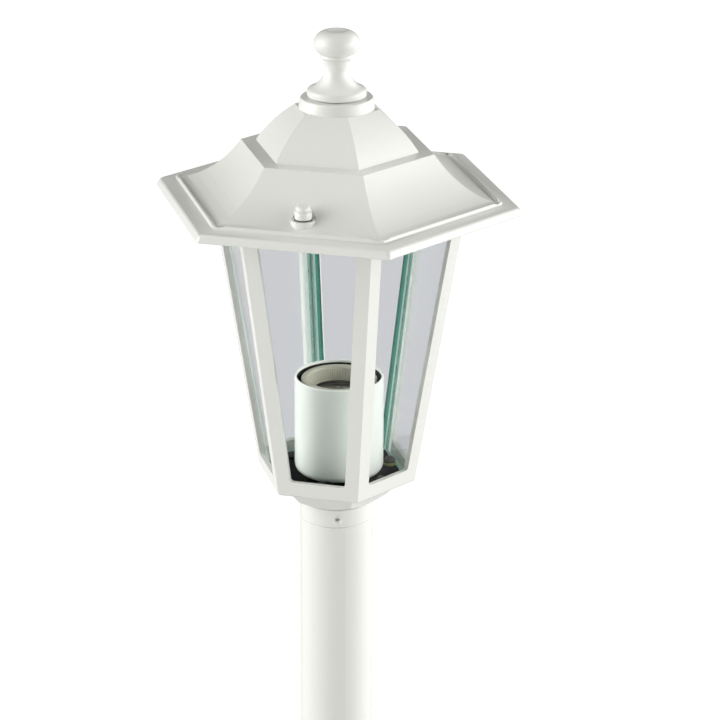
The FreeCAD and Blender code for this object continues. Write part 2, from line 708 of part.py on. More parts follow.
def floor_pieces():
    pieces = {"floor_plate": floor_plate(), "lampholder_sleeve": lampholder_sleeve(),
              "lampholder_body": lampholder_body(), "lamp_screw_shell": lamp_screw_shell(),
              "centre_contact": centre_contact(), "lead_grommet": lead_grommet(),
              "terminal_block": terminal_block(), "lead_earth": lead_earth()}
    for name, place in FLOOR_SCREWS.items():
        pieces[f"floor_screw_{name}"] = dome_screw(place, PLATE_TOP, SCREW_HEAD_R)
    pieces["floor_screw_small"] = dome_screw(SMALL_SCREW, PLATE_TOP, SMALL_HEAD_R)
    pieces["earth_screw"] = dome_screw(EARTH_SCREW, PLATE_TOP + 2 * WIRE_R + 0.1,
                                       SCREW_HEAD_R)
    for index, (x, y) in enumerate(holder_screw_places(), 1):
        pieces[f"holder_screw_{index}"] = holder_screw(x, y)
    entries = wire_entries()
    pieces["lead_live"] = straight_lead(entries[1])
    pieces["lead_neutral"] = straight_lead(entries[2])
    return pieces


def roof_pieces():
    pieces = {"roof_shell": roof_shell(), "finial": finial(),
              "finial_washer": finial_washer(), "finial_screw": finial_screw()}
    for name, y in (("front", -STUD_OUT), ("rear", STUD_OUT)):
        pieces[f"roof_stud_{name}"] = roof_stud(y)
        pieces[f"nut_seal_{name}"] = nut_seal(y)
        pieces[f"cap_nut_{name}"] = cap_nut(y)
    return pieces


def main():
    os.makedirs("parts", exist_ok=True)
    pieces = post_pieces()
    for group in (lantern_pieces(), floor_pieces(), roof_pieces()):
        for name, shape in group.items():
            shape.translate(FreeCAD.Vector(0, 0, RAIL_Z))
            pieces[name] = shape
    for name, shape in pieces.items():
        solid = shape.Solids[0]
        state = "ok" if shape.isValid() and len(shape.Solids) == 1 else "CHECK"
        print(f"{name:24s} {state} solids {len(shape.Solids)} volume {solid.Volume:10.1f}")
        solid.exportStep(f"parts/{name}.step")


main()
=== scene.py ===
import bmesh
import bpy
import math
from mathutils import Matrix, Vector


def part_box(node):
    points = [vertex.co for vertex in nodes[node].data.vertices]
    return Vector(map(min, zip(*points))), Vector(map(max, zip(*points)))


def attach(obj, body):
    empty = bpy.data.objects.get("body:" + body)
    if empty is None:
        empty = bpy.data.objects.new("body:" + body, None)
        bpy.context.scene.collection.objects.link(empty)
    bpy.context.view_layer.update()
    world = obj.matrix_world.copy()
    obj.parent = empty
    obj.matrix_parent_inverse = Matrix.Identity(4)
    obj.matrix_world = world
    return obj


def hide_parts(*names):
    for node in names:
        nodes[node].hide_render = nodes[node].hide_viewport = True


# A white six-sided garden lantern on its post.  Lengths are metres in the part's own frame.
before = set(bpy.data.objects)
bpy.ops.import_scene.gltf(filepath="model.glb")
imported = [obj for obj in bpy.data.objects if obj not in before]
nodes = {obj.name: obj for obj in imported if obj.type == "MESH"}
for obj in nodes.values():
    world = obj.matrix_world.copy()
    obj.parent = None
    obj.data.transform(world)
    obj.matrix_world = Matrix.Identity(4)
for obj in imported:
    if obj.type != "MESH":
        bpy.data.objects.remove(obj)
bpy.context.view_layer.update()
scene = bpy.context.scene

MM = 0.001
FINIAL_ABOVE_RAIL = 247.6 * MM
RAIL_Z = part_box("finial")[1].z - FINIAL_ABOVE_RAIL

# camera of the photograph
AIM_HEIGHT = 150 * MM               # point on the axis that the camera circles, above the rail
DISTANCE = 1.5367
AZIMUTH = math.radians(15.053)
ELEVATION = math.radians(18.296)
TURN_RIGHT = 0.00804
TILT_UP = -0.05155
ROLL = 0.00104
FOCAL_PIXELS = 2910.87
FRAME_PIXELS = 720
SENSOR = 36.0

CLIP_END = 50

# Studio light.  Each soft source of the room: bearing from the camera's side (right is plus) and
# height above the horizon, both in degrees, then its sharpness and its strength.
ROOM_LIGHTS = ((-80, 5, 4, 1.2), (-80, 5, 12, 4.4), (-80, 40, 12, 2.3),
               (80, 5, 4, 1.4), (80, 5, 12, 3.0), (110, 8, 12, 2.4), (125, 20, 16, 1.8),
               (50, 5, 12, 1.1))
ROOM_THROUGH_GLASS = 0.6
FLOOR_SIZE = 14.0
FLOOR_GLOW = 0.4
FLOOR_SEEN = (0.95, 0.95, 0.95)
FLOOR_ON_PIECES = (0.56, 0.56, 0.56)            # the floor as a light on the pieces
FLOOR_THROUGH_GLASS = (0.56, 0.54, 0.57)        # the floor seen through the panes
THROUGH_A_PANE = 1.5                            # a ray has met more faces of glass than this
IN_SIGHT = 0.5                                  # a ray has fewer diffuse bounces than this

# The two soft lights that reach only what stands behind the glass: bearing in degrees, rise
# against the level, and power in watts.
INSIDE_LIGHTS = ((-102, 0.45, 1.9), (76, 0.45, 2.05))
INSIDE_LIGHT_SIZE = 0.35
INSIDE_LIGHT_DISTANCE = 0.6
LAMPHOLDER_MIDDLE = 40 * MM                     # above the rail

# Edges and the tests that find them
CAST_EDGE = 0.35 * MM
SHEET_EDGE = 0.15 * MM
EDGE_SEGMENTS = 2
CREASE = math.radians(32)
HIP = math.radians(4)
SHORTEST_HIP = 1.5 * MM
OFF_CORNER = 0.2                                # degrees that a hip may lie off its plane
SIDES_APART = 60                                # degrees from corner to corner
WELD = 0.001 * MM
CAD_WELD = 0.002 * MM
LEVEL_FACES = math.radians(0.4)
NEARLY_SAME_WAY = 0.9                           # cosine between two directions
SAME_WAY = 0.99

# Roof: the raised bead lies between two heights above the rail and outside a radius
BEAD_FOOT = 159.7 * MM
BEAD_TOP = 162.6 * MM
BEAD_INSIDE = 72.0 * MM
STUD_OUT = 65.0 * MM                            # cap nuts from the lantern's axis
LANTERN_AXIS = Vector((0, 0, 0))

# Panes
PANE = 3.0 * MM
GLASS_ARRIS = 0.3 * MM
GLASS_ON_BAR = 4.0 * MM                         # side strip of each pane that lies on a bar
EDGE_PLACE, ARRIS_PLACE, STRIP_PLACE = 1, 2, 3  # places in a pane's list of materials

# Lampholder, in millimetres about its own axis where a value is a radius or a height
LAMP_AXIS = Vector((1.0 * MM, 0.3 * MM, 0))
MOUTH_FOOT = (14.3, 48.9)
MOUTH_TOP = (15.95, 54.5)
MOUTH_WALL_FOOT = 14.7
MOUTH_WALL_TOP = 16.3
MOUTH_RIBS = 75
RIB_DEPTH = 0.25
THREAD_PITCH = 3.62
THREAD_TURNS = 5
THREAD_DEPTH = 0.3
POINTS_PER_TURN = 8
SHELL_FOOT = 27.6
THREAD_FOOT = 29.0
SHELL_TOP = 48.5
SHELL_INSIDE = 13.3

# Steps round each turned piece
FINIAL_STEPS = 64
NUT_STEPS = 48
SHELL_STEPS = 72


# ---- materials ----------------------------------------------------------------------
def add(tree, kind, **settings):
    """New shader node; settings name its properties, or its inputs as in_Name."""
    node = tree.nodes.new(kind)
    for key, value in settings.items():
        if key.startswith("in_"):
            node.inputs[key[3:].replace("_", " ")].default_value = value
        else:
            setattr(node, key, value)
    return node


def grain_group():
    """Slow mottling and fine grain on object coordinates, shared by every finish."""
    group = bpy.data.node_groups.new("surface_grain", "ShaderNodeTree")
    for name, value in (("Mottle Scale", 40.0), ("Grain Scale", 900.0), ("Grain Detail", 2.0)):
        socket = group.interface.new_socket(name, in_out="INPUT", socket_type="NodeSocketFloat")
        socket.default_value = value
    for name in ("Mottle", "Grain"):
        group.interface.new_socket(name, in_out="OUTPUT", socket_type="NodeSocketFloat")
    given = group.nodes.new("NodeGroupInput")
    result = group.nodes.new("NodeGroupOutput")
    place = group.nodes.new("ShaderNodeTexCoord")
    for output, scale in (("Mottle", "Mottle Scale"), ("Grain", "Grain Scale")):
        noise = add(group, "ShaderNodeTexNoise", in_Roughness=0.55)
        group.links.new(place.outputs["Object"], noise.inputs["Vector"])
        group.links.new(given.outputs[scale], noise.inputs["Scale"])
        if output == "Grain":
            group.links.new(given.outputs["Grain Detail"], noise.inputs["Detail"])
        group.links.new(noise.outputs["Fac"], result.inputs[output])
    return group


GRAIN = grain_group()


def finish(name, dark, light, roughness, grain=900.0, mottle=40.0, bump=0.02, **shader_values):
    """Material whose colour and roughness drift between two values, with a fine grain."""
    material = bpy.data.materials.new(name)
    material.use_nodes = True
    tree = material.node_tree
    shader = tree.nodes["Principled BSDF"]
    for key, value in shader_values.items():
        shader.inputs[key.replace("_", " ")].default_value = value
    texture = add(tree, "ShaderNodeGroup", node_tree=GRAIN)
    texture.inputs["Mottle Scale"].default_value = mottle
    texture.inputs["Grain Scale"].default_value = grain
    colour = add(tree, "ShaderNodeMix", data_type="RGBA")
    colour.inputs["A"].default_value = (*dark, 1)
    colour.inputs["B"].default_value = (*light, 1)
    spread = add(tree, "ShaderNodeMapRange", interpolation_type="SMOOTHSTEP",
                 in_From_Min=0.1, in_From_Max=0.9)
    spread.inputs["To Min"].default_value = roughness[0]
    spread.inputs["To Max"].default_value = roughness[1]
    height = add(tree, "ShaderNodeBump", in_Distance=bump * MM, in_Strength=1.0)
    link = tree.links.new
    link(texture.outputs["Mottle"], colour.inputs["Factor"])
    link(texture.outputs["Mottle"], spread.inputs["Value"])
    link(texture.outputs["Grain"], height.inputs["Height"])
    link(colour.outputs["Result"], shader.inputs["Base Color"])
    link(spread.outputs["Result"], shader.inputs["Roughness"])
    link(height.outputs["Normal"], shader.inputs["Normal"])
    return material


def dust_group():
    """Sparse pale specks on object coordinates."""
    group = bpy.data.node_groups.new("fine_dust", "ShaderNodeTree")
    for name, value in (("Scale", 1500.0), ("Amount", 0.3)):
        socket = group.interface.new_socket(name, in_out="INPUT", socket_type="NodeSocketFloat")
        socket.default_value = value
    group.interface.new_socket("Mask", in_out="OUTPUT", socket_type="NodeSocketFloat")
    given = group.nodes.new("NodeGroupInput")
    result = group.nodes.new("NodeGroupOutput")
    place = group.nodes.new("ShaderNodeTexCoord")
    noise = add(group, "ShaderNodeTexNoise", in_Detail=1.0)
    specks = add(group, "ShaderNodeMapRange", interpolation_type="SMOOTHSTEP",
                 in_From_Min=0.6, in_From_Max=0.78)
    link = group.links.new
    link(place.outputs["Object"], noise.inputs["Vector"])
    link(given.outputs["Scale"], noise.inputs["Scale"])
    link(noise.outputs["Fac"], specks.inputs["Value"])
    link(given.outputs["Amount"], specks.inputs["To Max"])
    link(specks.outputs["Result"], result.inputs["Mask"])
    return group


DUST = dust_group()


def dusted(material, colour, scale, amount):
    """Lay pale specks over a finish's own colour."""
    tree = material.node_tree
    link = tree.links.new
    shader = tree.nodes["Principled BSDF"]
    under = shader.inputs["Base Color"].links[0].from_socket
    dust = add(tree, "ShaderNodeGroup", node_tree=DUST)
    dust.inputs["Scale"].default_value = scale
    dust.inputs["Amount"].default_value = amount
    mix = add(tree, "ShaderNodeMix", data_type="RGBA")
    mix.inputs["B"].default_value = (*colour, 1)
    link(dust.outputs["Mask"], mix.inputs["Factor"])
    link(under, mix.inputs["A"])
    link(mix.outputs["Result"], shader.inputs["Base Color"])
    return material


def across_edge(material, bands):
    """Bands of colour along the UV map "across", which runs from 0 to 1 over an edge or strip;
    the same bands feed the emission, a painted glow.
    """
    tree = material.node_tree
    link = tree.links.new
    shader = tree.nodes["Principled BSDF"]
    under = shader.inputs["Base Color"].links[0].from_socket
    place = add(tree, "ShaderNodeUVMap", uv_map="across")
    split = add(tree, "ShaderNodeSeparateXYZ")
    ramp = add(tree, "ShaderNodeValToRGB")
    stops = ramp.color_ramp.elements
    while len(stops) < len(bands):
        stops.new(0.5)
    for stop, (position, colour) in zip(stops, bands):
        stop.position = position
        stop.color = (*colour, 1)
    mix = add(tree, "ShaderNodeMix", data_type="RGBA", blend_type="MULTIPLY", in_Factor=1.0)
    link(place.outputs["UV"], split.inputs[0])
    link(split.outputs["X"], ramp.inputs["Fac"])
    link(under, mix.inputs["A"])
    link(ramp.outputs["Color"], mix.inputs["B"])
    link(mix.outputs["Result"], shader.inputs["Base Color"])
    # Painted glow: the band colours also feed the emission, so the glass edges and strips give
    # off light of their own.
    link(mix.outputs["Result"], shader.inputs["Emission Color"])
    return material


WHITE_ENAMEL = finish("white_enamel", (0.83, 0.835, 0.785), (0.855, 0.86, 0.815), (0.17, 0.25),
                      grain=700, mottle=18, bump=0.004)
CLEAR_GLASS = finish("clear_glass", (0.955, 0.985, 0.978), (0.965, 0.99, 0.985), (0.0, 0.01),
                     grain=30, mottle=12, bump=0.002, Transmission_Weight=1.0, IOR=1.25,
                     Specular_Tint=(0.3, 0.3, 0.3, 1))
# Edge faces of the panes: the dark green bands are the glass's own edge colour and the lighter
# bands are painted reflection; with its emission strength the whole edge glows as painted light.
GLASS_EDGE = dusted(across_edge(
    finish("glass_edge", (0.75, 0.8, 0.78), (1.0, 1.0, 1.0), (0.15, 0.35), grain=500,
           mottle=120, bump=0.05, Emission_Strength=0.25),
    ((0.0, (0.02, 0.09, 0.06)), (0.14, (0.04, 0.17, 0.12)), (0.26, (0.5, 0.78, 0.68)),
     (0.4, (0.3, 0.55, 0.46)), (0.55, (0.14, 0.38, 0.3)), (0.85, (0.3, 0.5, 0.43)),
     (1.0, (0.6, 0.8, 0.74)))), (0.9, 0.97, 0.94), 900.0, 0.7)
# Strips of the front and back panes that lie on a bar: the dark green bands are a black seal seen
# through the glass, and the pale bands are the white bar behind it with painted reflection on it;
# the emission strength makes the strip glow as painted light.
GLASS_OVER_BAR = across_edge(
    finish("glass_over_bar", (0.85, 0.9, 0.88), (1.0, 1.0, 1.0), (0.1, 0.2), grain=400,
           mottle=60, bump=0.03, Emission_Strength=0.22),
    ((0.0, (0.04, 0.2, 0.15)), (0.06, (0.05, 0.25, 0.18)), (0.12, (0.7, 0.95, 0.88)),
     (0.34, (0.78, 0.98, 0.93)), (0.42, (0.08, 0.36, 0.27)), (0.6, (0.12, 0.46, 0.36)),
     (0.75, (0.05, 0.28, 0.2)), (0.9, (0.07, 0.3, 0.23)), (0.95, (0.008, 0.02, 0.015))))
# Strips of the other panes: the white bar seen through the glass, made to glow by an emission,
# which is painted light.
PALE_GLASS_OVER_BAR = finish(
    "pale_glass_over_bar", (0.95, 0.985, 0.96), (0.99, 1.0, 1.0), (0.1, 0.2), grain=400,
    mottle=60, bump=0.03, Emission_Color=(0.97, 1.0, 0.98, 1), Emission_Strength=0.22)
GLASS_ARRIS_GROUND = dusted(
    finish("glass_arris_ground", (0.75, 0.86, 0.82), (0.95, 1.0, 0.98), (0.3, 0.55), grain=900,
           mottle=300, bump=0.1), (0.05, 0.12, 0.1), 700.0, 0.9)
BLACK_PLATE = dusted(
    finish("black_plate", (0.004, 0.004, 0.005), (0.01, 0.01, 0.011), (0.6, 0.8),
           grain=1200, mottle=90, bump=0.05, Specular_IOR_Level=0.04),
    (0.3, 0.3, 0.28), 1600.0, 0.35)
BLACK_SCREW = finish("black_screw", (0.006, 0.006, 0.006), (0.012, 0.012, 0.012), (0.08, 0.14),
                     grain=600, bump=0.01)
# Painted shade: a near-black finish on the sleeve's inner wall, standing in for the shade deep in
# the gap round the lampholder.
PAINTED_SHADE_INSIDE = finish("painted_shade_inside", (0.01, 0.01, 0.01), (0.025, 0.025, 0.022), (0.5, 0.7),
                     grain=900, bump=0.02, Specular_IOR_Level=0.1)
PORCELAIN = finish("porcelain", (0.38, 0.36, 0.285), (0.46, 0.44, 0.355), (0.35, 0.55),
                   grain=1500, mottle=150, bump=0.03)
NICKEL = finish("nickel_shell", (0.6, 0.6, 0.58), (0.75, 0.75, 0.73), (0.15, 0.3),
                grain=800, bump=0.02, Metallic=1.0)
BRASS = finish("contact_brass", (0.6, 0.42, 0.18), (0.72, 0.55, 0.27), (0.2, 0.35),
               grain=800, bump=0.02, Metallic=1.0)
ZINC = finish("zinc_steel", (0.42, 0.42, 0.42), (0.6, 0.6, 0.58), (0.3, 0.5),
              grain=1200, mottle=350, bump=0.03, Metallic=1.0)
ALUMINIUM = finish("bare_aluminium", (0.6, 0.6, 0.6), (0.7, 0.7, 0.7), (0.35, 0.5),
                   grain=1500, mottle=60, bump=0.03, Metallic=1.0)
RUBBER = finish("black_rubber", (0.012, 0.012, 0.012), (0.025, 0.025, 0.025), (0.6, 0.8),
                grain=1800, mottle=200, bump=0.06)
NUT_SEAL = finish("nut_seal", (0.07, 0.07, 0.068), (0.1, 0.1, 0.098), (0.6, 0.8),
                  grain=1800, mottle=200, bump=0.04)
BROWN_WIRE = finish("brown_wire", (0.12, 0.04, 0.02), (0.17, 0.06, 0.03), (0.35, 0.5),
                    grain=1500, bump=0.02)
BLUE_WIRE = finish("blue_wire", (0.02, 0.07, 0.3), (0.03, 0.1, 0.4), (0.35, 0.5),
                   grain=1500, bump=0.02)
EARTH_WIRE = finish("earth_wire", (0.02, 0.08, 0.01), (0.3, 0.3, 0.03), (0.3, 0.45),
                    grain=1500, mottle=260, bump=0.02)


# ---- pieces -------------------------------------------------------------------------
def show(name, bm, material, body, replaced=()):
    """Turn a bmesh into a finished piece that rides on a body."""
    mesh = bpy.data.meshes.new(name)
    bm.to_mesh(mesh)
    bm.free()
    mesh.shade_smooth()
    mesh.set_sharp_from_angle(angle=CREASE)
    piece = bpy.data.objects.new(name, mesh)
    scene.collection.objects.link(piece)
    for finish_used in material if isinstance(material, tuple) else (material,):
        mesh.materials.append(finish_used)
    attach(piece, body)
    if replaced:
        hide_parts(*replaced)
    return piece


def merged_copy(node):
    """Copy of a CAD node's mesh with its doubles merged and its flat faces whole."""
    bm = bmesh.new()
    bm.from_mesh(nodes[node].data)
    bmesh.ops.remove_doubles(bm, verts=bm.verts, dist=CAD_WELD)
    bmesh.ops.dissolve_limit(bm, angle_limit=LEVEL_FACES, use_dissolve_boundaries=False,
                             verts=bm.verts, edges=bm.edges)
    return bm


def on_corner(edge):
    """Whether an edge runs in one of the six upright planes through the corners."""
    for vert in edge.verts:
        turn = math.degrees(math.atan2(vert.co.y, vert.co.x)) % SIDES_APART
        if min(turn, SIDES_APART - turn) > OFF_CORNER:
            return False
    return True


def on_bead(edge):
    """Whether an edge belongs to the roof's raised bead, which is round as it comes."""
    return all(BEAD_FOOT < vert.co.z - RAIL_Z < BEAD_TOP and vert.co.xy.length > BEAD_INSIDE
               for vert in edge.verts)


def ease(bm, width):
    """Round every edge where two faces meet sharply, and the long hips of the six sides."""
    chosen = []
    for edge in bm.edges:
        if len(edge.link_faces) == 2 and not on_bead(edge):
            bend = edge.calc_face_angle(0)
            if on_corner(edge):
                wanted = bend > HIP and edge.calc_length() > SHORTEST_HIP
            else:
                wanted = bend > CREASE
            if wanted:
                chosen.append(edge)
    bmesh.ops.bevel(bm, geom=chosen, offset=width, offset_type="OFFSET",
                    segments=EDGE_SEGMENTS, profile=0.5, affect="EDGES",
                    clamp_overlap=True, material=-1)


def eased(node, width, material, body):
    """A CAD node's own form with its edges rounded."""
    bm = merged_copy(node)
    ease(bm, width)
    even_out(show(node + "_finished", bm, material, body, (node,)))


def even_out(piece):
    """Large faces keep an even shade next to their rounded edges."""
    level = piece.modifiers.new("even_shading", "WEIGHTED_NORMAL")
    level.mode = "FACE_AREA"
    level.keep_sharp = True


def strip_sides(bm, inwards, sides):
    """Cut a pane's outer face along the strips that lie on the bars."""
    for place, outwards in sides:
        sheet = [face for face in bm.faces if face.normal.dot(inwards) < -SAME_WAY]
        around = list(dict.fromkeys(edge for face in sheet for edge in face.edges))
        corners = list(dict.fromkeys(vert for face in sheet for vert in face.verts))
        bmesh.ops.bisect_plane(bm, geom=sheet + around + corners, dist=WELD,
                               plane_co=place - outwards * GLASS_ON_BAR, plane_no=outwards)


def map_across(bm, surface, inwards, sides):
    """UV map "across": depth from the outer face, and on the strips the way from the side."""
    def from_side(place):
        return min((side - place).dot(outwards) for side, outwards in sides)

    across = bm.loops.layers.uv.new("across")
    for face in bm.faces:
        if (face.normal.dot(inwards) < -SAME_WAY
                and from_side(face.calc_center_median()) < GLASS_ON_BAR):
            face.material_index = STRIP_PLACE
        for loop in face.loops:
            if face.material_index == STRIP_PLACE:
                depth = from_side(loop.vert.co) / GLASS_ON_BAR
            else:
                depth = (loop.vert.co - surface).dot(inwards) / PANE
            loop[across].uv = (depth, loop.vert.co.z)


def glass_pane(node):
    """Pane with ground edges, a bright arris and side strips: green in front and behind; edges
    and strips carry a painted glow.
    """
    bm = merged_copy(node)
    faces = sorted(bm.faces, key=lambda face: face.calc_area(), reverse=True)
    outer = max(faces[:2], key=lambda face: face.normal.dot(face.calc_center_median()
                                                            * Vector((1, 1, 0))))
    surface = outer.verts[0].co.copy()
    inwards = -outer.normal
    along_side = Vector((0, 0, 1)).cross(inwards).normalized()
    sides = []
    for face in faces[2:]:
        face.material_index = EDGE_PLACE
        if abs(face.normal.dot(along_side)) > NEARLY_SAME_WAY:
            sides.append((face.verts[0].co.copy(), face.normal.copy()))
    made = bmesh.ops.bevel(bm, geom=bm.edges[:], offset=GLASS_ARRIS, offset_type="OFFSET",
                           segments=1, profile=0.5, affect="EDGES", clamp_overlap=True,
                           material=-1)
    for face in made["faces"]:
        face.material_index = ARRIS_PLACE
    strip_sides(bm, inwards, sides)
    map_across(bm, surface, inwards, sides)
    front_or_back = abs(inwards.y) > NEARLY_SAME_WAY
    over_bar = GLASS_OVER_BAR if front_or_back else PALE_GLASS_OVER_BAR
    piece = show(node + "_finished", bm,
                 (CLEAR_GLASS, GLASS_EDGE, GLASS_ARRIS_GROUND, over_bar), "head",
                 (node,))
    piece.data.shade_flat()


def spun(rings, steps, axis):
    """Spin an outline of radius and height above the rail about an upright axis."""
    bm = bmesh.new()
    points = [bm.verts.new((axis.x + radius * MM, axis.y, RAIL_Z + height * MM))
              for radius, height in rings]
    for first, second in zip(points, points[1:] + points[:1]):
        bm.edges.new((first, second))
    bmesh.ops.spin(bm, geom=bm.verts[:] + bm.edges[:], cent=axis, axis=(0, 0, 1),
                   angle=2 * math.pi, steps=steps, use_merge=True)
    bmesh.ops.remove_doubles(bm, verts=bm.verts, dist=WELD)
    bmesh.ops.recalc_face_normals(bm, faces=bm.faces)
    return bm


def turned_finial():
    """Disc on a shadow gap, flared foot, waist, bead ring and flattened ball with a dimple."""
    bm = spun(((2.0, 212.0), (13.7, 212.0), (13.75, 212.1), (13.8, 212.85), (15.3, 212.85),
               (15.55, 213.0), (15.6, 213.3), (15.6, 215.0), (15.55, 215.6), (15.2, 216.2),
               (14.5, 216.7), (13.0, 217.3), (11.2, 218.2), (9.4, 219.8), (8.0, 221.6),
               (7.0, 223.8), (6.5, 226.0), (6.45, 228.0), (6.7, 230.0), (7.3, 231.9),
               (7.9, 232.8), (8.5, 233.1), (8.85, 233.5), (8.85, 234.0), (8.5, 234.5),
               (8.3, 234.7), (9.2, 235.3), (10.8, 236.7), (12.0, 238.7), (12.35, 240.6),
               (11.9, 242.8), (10.6, 244.8), (8.9, 246.1), (7.4, 246.8), (6.0, 247.15),
               (4.9, 247.2), (4.3, 247.0), (3.4, 246.7), (2.0, 246.6)), FINIAL_STEPS,
              LANTERN_AXIS)
    close_ends(bm)
    piece = show("finial_turned", bm, WHITE_ENAMEL, "roof", ("finial",))
    smooth = piece.modifiers.new("smooth_turning", "SUBSURF")
    smooth.levels = smooth.render_levels = 1


def close_ends(bm):
    """Take away the narrow core left by the spin and close both ends with a flat disc."""
    core = min(vert.co.xy.length for vert in bm.verts)
    inner = [face for face in bm.faces
             if all(vert.co.xy.length < core * 1.001 for vert in face.verts)]
    bmesh.ops.delete(bm, geom=inner, context="FACES")
    bmesh.ops.holes_fill(bm, edges=[edge for edge in bm.edges if edge.is_boundary], sides=0)
    bmesh.ops.recalc_face_normals(bm, faces=bm.faces)


def turned_cap_nut(side, y):
    """Round cap nut: straight skirt, two fine grooves, low dome and a small flat tip."""
    axis = Vector((0, y, 0))
    bm = spun(((2.05, 166.1), (4.3, 166.1), (4.4, 166.2), (4.4, 169.7), (4.35, 169.8),
               (3.95, 169.82), (3.95, 170.2), (4.35, 170.22), (4.4, 170.3), (4.4, 170.8),
               (4.3, 170.9), (3.85, 170.92), (3.85, 171.5), (3.7, 171.95), (3.3, 172.5),
               (2.6, 172.95), (1.7, 173.2), (1.05, 173.25), (1.0, 173.55), (0.7, 173.6),
               (0.0, 173.6), (0.0, 171.9), (2.05, 171.3)), NUT_STEPS, axis)
    show(f"cap_nut_{side}_turned", bm, WHITE_ENAMEL, f"nut_{side}",
         (f"cap_nut_{side}",))


def sleeve():
    """White outside and at the rim, with painted shade on the inner wall in the deep gap round
    the lampholder.
    """
    bm = merged_copy("lampholder_sleeve")
    brink = Vector((0, 0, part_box("lampholder_body")[1].z))
    bmesh.ops.bisect_plane(bm, geom=bm.verts[:] + bm.edges[:] + bm.faces[:],
                           dist=WELD, plane_co=brink, plane_no=(0, 0, 1))
    ease(bm, SHEET_EDGE)
    # Faces of the inner wall below the brink take the painted shade.
    for face in bm.faces:
        middle = face.calc_center_median()
        arm = middle - LAMP_AXIS
        arm.z = 0
        if middle.z < brink.z and face.normal.dot(arm.normalized()) < -NEARLY_SAME_WAY:
            face.material_index = 1
    even_out(show("lampholder_sleeve_finished", bm, (WHITE_ENAMEL, PAINTED_SHADE_INSIDE), "head",
                  ("lampholder_sleeve",)))


def lamp_mouth_ribs():
    """Fine upright ribs on the sloping wall between the holder's rim and its metal shell."""
    bm = spun((MOUTH_FOOT, MOUTH_TOP, (MOUTH_WALL_TOP, MOUTH_TOP[1]),
               (MOUTH_WALL_FOOT, MOUTH_FOOT[1])), 2 * MOUTH_RIBS, LAMP_AXIS)
    slope = (MOUTH_TOP[0] - MOUTH_FOOT[0]) / (MOUTH_TOP[1] - MOUTH_FOOT[1])
    half_way = (MOUTH_FOOT[0] + MOUTH_WALL_FOOT) / 2
    for vert in bm.verts:
        arm = vert.co - LAMP_AXIS
        arm.z = 0
        column = round(math.atan2(arm.y, arm.x) * MOUTH_RIBS / math.pi)
        height = (vert.co.z - RAIL_Z) / MM - MOUTH_FOOT[1]
        on_inside = arm.length / MM < half_way + height * slope
        if column % 2 and on_inside:
            vert.co += arm.normalized() * RIB_DEPTH * MM
    show("lamp_mouth_ribs", bm, PORCELAIN, "head")


def lamp_screw_shell():
    """Thin metal shell rolled into the rounded thread for the lamp's cap."""
    rings = [(13.68, SHELL_TOP), (13.68, SHELL_FOOT), (11.3, SHELL_FOOT), (11.3, 28.0),
             (SHELL_INSIDE, 28.0)]
    for step in range(THREAD_TURNS * POINTS_PER_TURN + 1):
        swell = 0.5 - 0.5 * math.cos(2 * math.pi * step / POINTS_PER_TURN)
        rings.append((SHELL_INSIDE + THREAD_DEPTH * swell,
                      THREAD_FOOT + THREAD_PITCH * step / POINTS_PER_TURN))
    rings.append((13.35, SHELL_TOP))
    show("lamp_screw_shell_rolled", spun(rings, SHELL_STEPS, LAMP_AXIS), NICKEL, "head",
         ("lamp_screw_shell",))


def keep(node, material):
    """A CAD node that is shown as it is, with its finish."""
    mesh = nodes[node].data
    mesh.materials.clear()
    mesh.materials.append(material)


def dress_post():
    """Foot, tube, collar and their grub screws."""
    for node in ("base_flange", "post_tube", "post_collar"):
        eased(node, CAST_EDGE, WHITE_ENAMEL, "post")
    for index in (1, 2, 3):
        keep(f"base_grub_screw_{index}", ZINC)
        keep(f"collar_grub_screw_{index}", WHITE_ENAMEL)


def dress_head():
    """Cage, panes, lampholder and all that the lantern holds."""
    eased("lantern_cage", CAST_EDGE, WHITE_ENAMEL, "head")
    sleeve()
    eased("lampholder_body", SHEET_EDGE, PORCELAIN, "head")
    eased("pane_retainer", SHEET_EDGE, ALUMINIUM, "head")
    lamp_mouth_ribs()
    lamp_screw_shell()
    for side in range(1, 7):
        glass_pane(f"glass_pane_{side}")
    finishes = {
        "roof_gasket": RUBBER, "lead_grommet": RUBBER, "floor_plate": BLACK_PLATE,
        "centre_contact": BRASS, "terminal_block": PORCELAIN, "lead_live": BROWN_WIRE,
        "lead_neutral": BLUE_WIRE, "lead_earth": EARTH_WIRE, "roof_stud_front": ZINC,
        "roof_stud_rear": ZINC, "holder_screw_1": ZINC, "holder_screw_2": ZINC,
        "floor_screw_front": BLACK_SCREW, "floor_screw_left": BLACK_SCREW,
        "floor_screw_small": BLACK_SCREW, "earth_screw": BLACK_SCREW}
    for index in (1, 2, 3, 4):
        finishes[f"retainer_screw_{index}"] = ZINC
    for node, material in finishes.items():
        keep(node, material)


def dress_roof():
    """Roof, finial and the two cap nuts with their seals."""
    eased("roof_shell", CAST_EDGE, WHITE_ENAMEL, "roof")
    turned_finial()
    keep("finial_washer", ZINC)
    keep("finial_screw", ZINC)
    for side, y in (("front", -STUD_OUT), ("rear", STUD_OUT)):
        keep(f"nut_seal_{side}", NUT_SEAL)
        turned_cap_nut(side, y)


